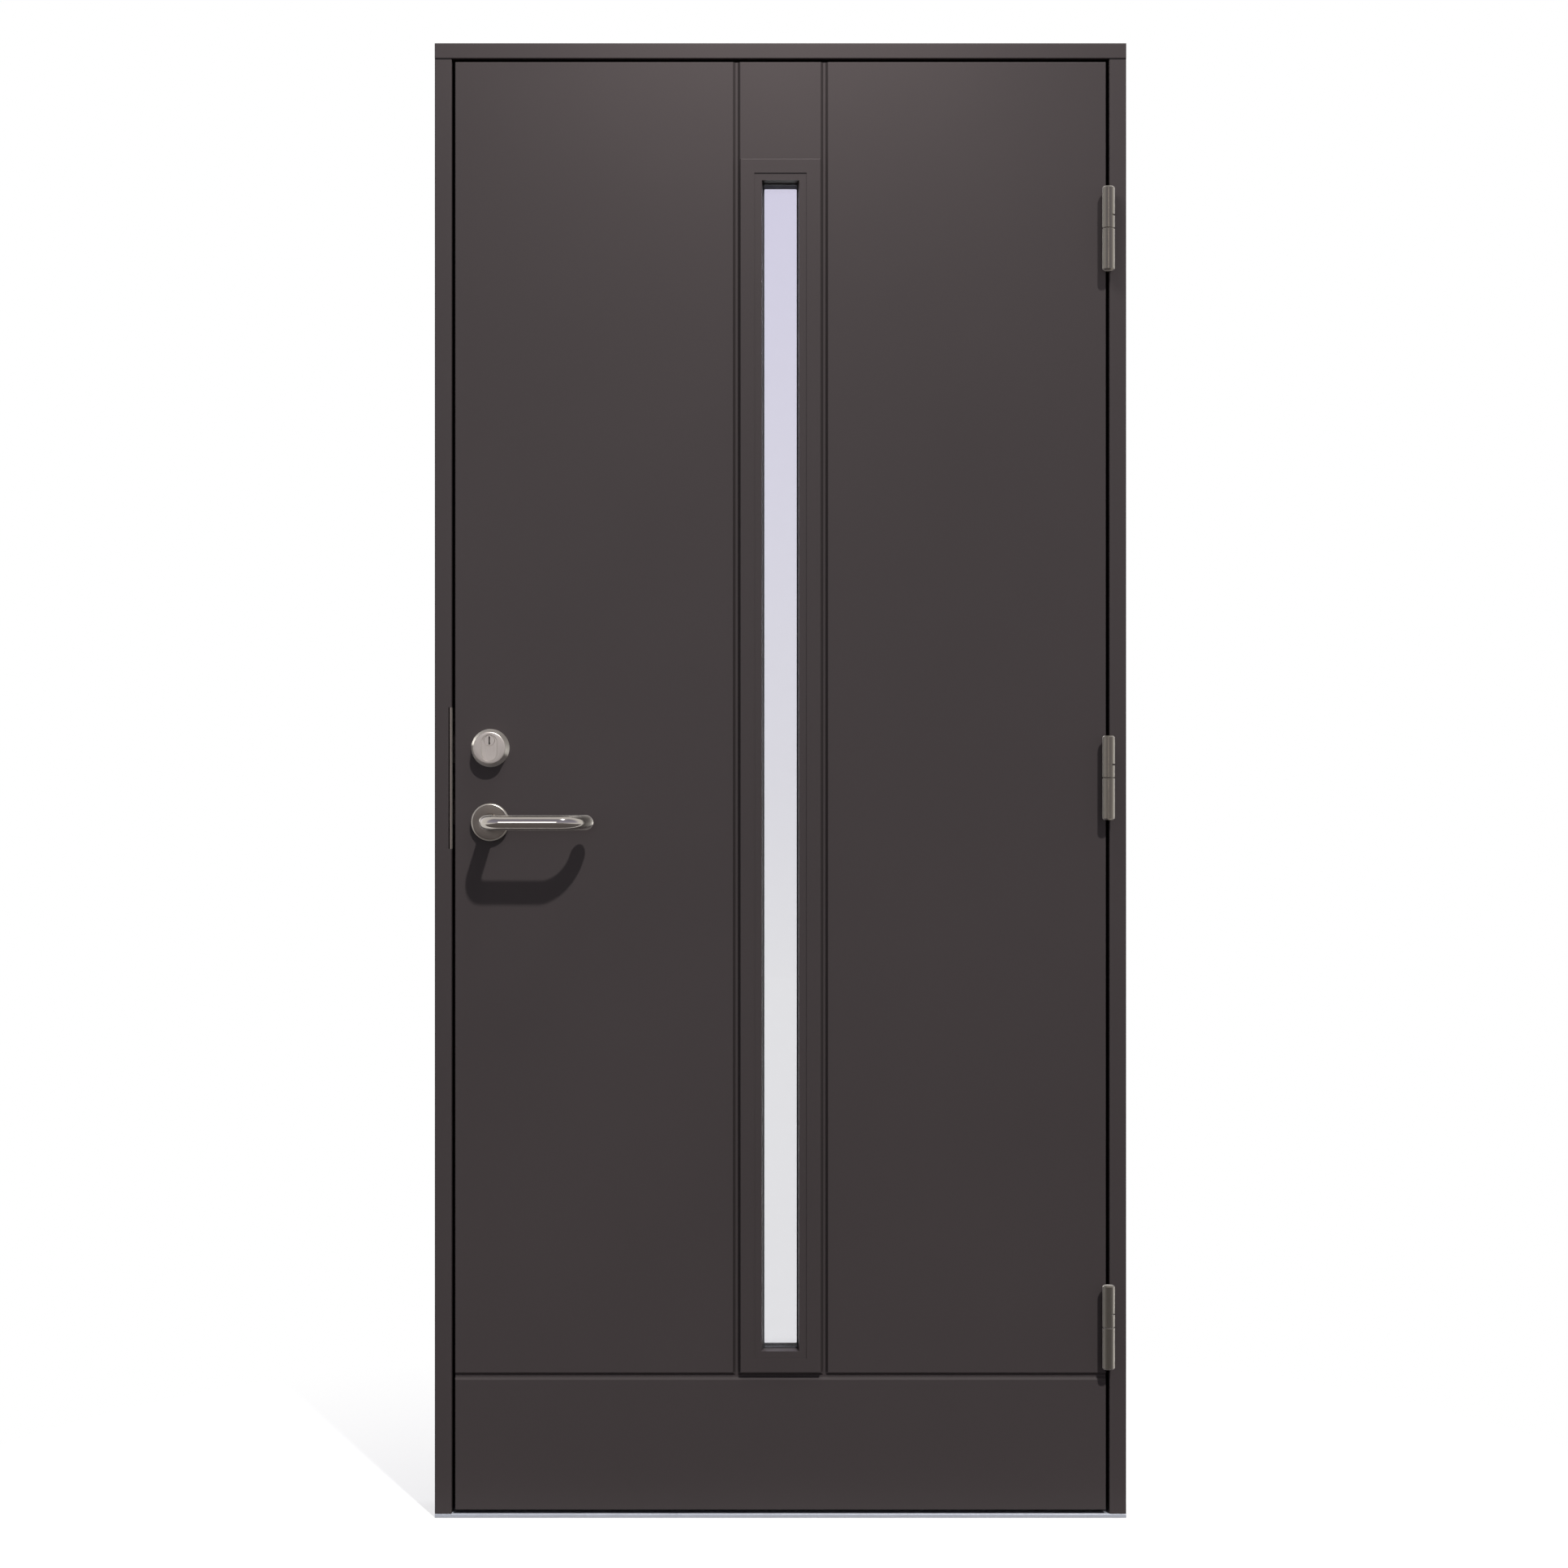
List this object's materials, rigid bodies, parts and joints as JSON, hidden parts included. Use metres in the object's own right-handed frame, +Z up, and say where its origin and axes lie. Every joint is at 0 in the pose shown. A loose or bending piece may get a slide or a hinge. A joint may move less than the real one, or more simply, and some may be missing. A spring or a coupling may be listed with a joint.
{
  "type": "exterior door set",
  "caption": "Outward-opening hinged exterior door in its frame, flat grooved leaf with a tall narrow glazing strip, lever and cylinder lock.",
  "frame": {"origin": "centre of the sill underside, at the middle of the frame's width and depth", "axes": "+X to the hinge side, right when seen from outside; +Y from outside to inside, into the wall; +Z up"},
  "size_m": [0.98, 0.235, 2.09],
  "materials": {
    "frame_paint": "satin dark grey paint",
    "leaf_paint": "satin dark grey paint",
    "cassette_paint": "satin dark grey",
    "core_foam": "foam",
    "threshold_metal": "anodised",
    "threshold_wood": "oiled",
    "seal_rubber": "matt",
    "clear_glass": "clear",
    "spacer": "matt",
    "satin_steel": "satin, warm"
  },
  "bodies": {
    "frame": {"head_jamb": "frame_paint", "latch_jamb": "frame_paint", "hinge_jamb": "frame_paint", "threshold_plate": "threshold_metal", "threshold_board": "threshold_wood", "head_seal": "seal_rubber", "latch_seal": "seal_rubber", "hinge_seal": "seal_rubber", "threshold_seal": "seal_rubber", "strike_plate": "satin_steel", "hinge_frame_bottom": "satin_steel", "hinge_frame_middle": "satin_steel", "hinge_frame_top": "satin_steel"},
    "leaf": {"latch_stile": "leaf_paint", "hinge_stile": "leaf_paint", "top_rail": "leaf_paint", "bottom_rail": "leaf_paint", "insulation_core": "core_foam", "outer_skin": "leaf_paint", "inner_skin": "leaf_paint", "outer_cassette": "cassette_paint", "inner_cassette": "cassette_paint", "outer_pane": "clear_glass", "middle_pane": "clear_glass", "inner_pane": "clear_glass", "outer_spacer": "spacer", "inner_spacer": "spacer", "outer_glazing_seal": "seal_rubber", "inner_glazing_seal": "seal_rubber", "lock_forend": "satin_steel", "latch_bolt": "satin_steel", "dead_bolt": "satin_steel", "outer_cylinder_ring": "satin_steel", "inner_cylinder_ring": "satin_steel", "lock_cylinder": "satin_steel", "outer_lever_rose": "satin_steel", "inner_lever_rose": "satin_steel", "hinge_leaf_bottom": "satin_steel", "hinge_leaf_middle": "satin_steel", "hinge_leaf_top": "satin_steel"},
    "lever": {"outer_lever": "satin_steel", "inner_lever": "satin_steel", "spindle": "satin_steel"},
    "key_plug": {"key_plug": "satin_steel"}
  },
  "joints": [
    {"name": "leaf_swing", "type": "hinge", "parent": "frame", "child": "leaf", "pos_m": [0.4635, -0.0655, 1.04875], "axis": [0, 0, 1], "range_deg": [0, 170]},
    {"name": "lever_turn", "type": "hinge", "parent": "leaf", "child": "lever", "pos_m": [-0.411, -0.0215, 0.986], "axis": [0, 1, 0], "range_deg": [0, 45], "stiffness_Nm_per_rad": 1.5, "springref_deg": -40.11},
    {"name": "key_turn", "type": "hinge", "parent": "leaf", "child": "key_plug", "pos_m": [-0.411, -0.0525, 1.1014], "axis": [0, 1, 0], "range_deg": [-90, 90]}
  ]
}
